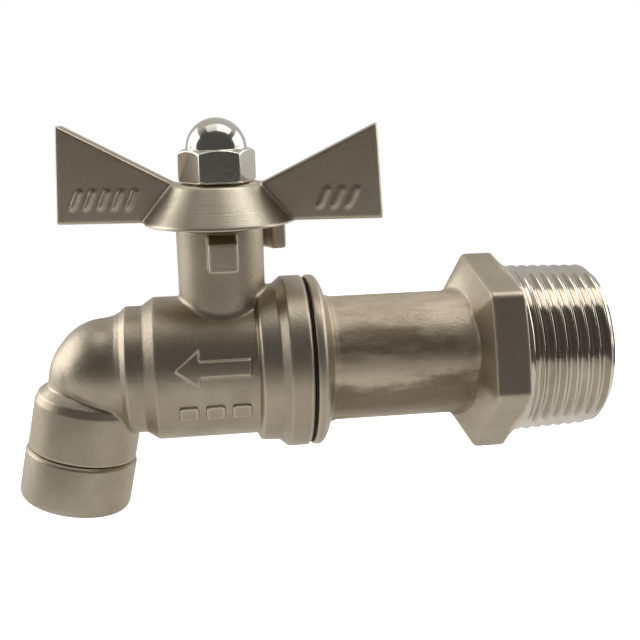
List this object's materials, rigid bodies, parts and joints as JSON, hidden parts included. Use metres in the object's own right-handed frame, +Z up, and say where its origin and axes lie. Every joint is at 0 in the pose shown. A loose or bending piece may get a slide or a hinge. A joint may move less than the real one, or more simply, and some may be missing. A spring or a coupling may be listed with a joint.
{
  "type": "hose bib",
  "caption": "Quarter-turn ball tap with a butterfly handle, a downward spout and a threaded inlet with a hexagon.",
  "frame": {"origin": "centre of the inlet's end face, where the tap leaves the wall fitting that it is screwed into", "axes": "+X out of the inlet, into the pipe; +Z up along the stem, from bore to handle; +Y to the back, with the spout at -X"},
  "size_m": [0.0937, 0.0308, 0.0614],
  "materials": {
    "nickel_cast": "satin nickel plate over a fine-blasted brass casting",
    "nickel_bright": "polished nickel plate",
    "brass": "machined",
    "ptfe": "plain PTFE",
    "rubber": "matte",
    "fibre": "matte fibre"
  },
  "bodies": {
    "tap_body": {"valve_body": "nickel_cast", "outlet_nozzle": "nickel_cast", "nozzle_washer": "rubber", "inlet_shank": "nickel_cast", "body_joint_gasket": "fibre", "inlet_seat_ring": "ptfe", "outlet_seat_ring": "ptfe", "stem_thrust_washer": "ptfe", "packing_ring_lower": "ptfe", "packing_ring_upper": "ptfe", "gland_ring": "brass", "gland_nut": "brass"},
    "handle_and_stem": {"butterfly_handle": "nickel_cast", "nut_lock_washer": "brass", "acorn_nut": "nickel_bright", "stem": "brass", "stem_oring": "rubber"},
    "ball": {"ball": "nickel_bright"}
  },
  "joints": [
    {"name": "handle_turn", "type": "hinge", "parent": "tap_body", "child": "handle_and_stem", "pos_m": [-0.0603, 0, 0.02], "axis": [0, 0, 1], "range_deg": [-90, 0]},
    {"name": "ball_turn", "type": "hinge", "parent": "tap_body", "child": "ball", "pos_m": [-0.0603, 0, 0], "axis": [0, 0, 1], "range_deg": [-90, 0]}
  ],
  "couplings": [
    {"joint": "ball_turn", "follows": "handle_turn", "ratio": 1}
  ]
}
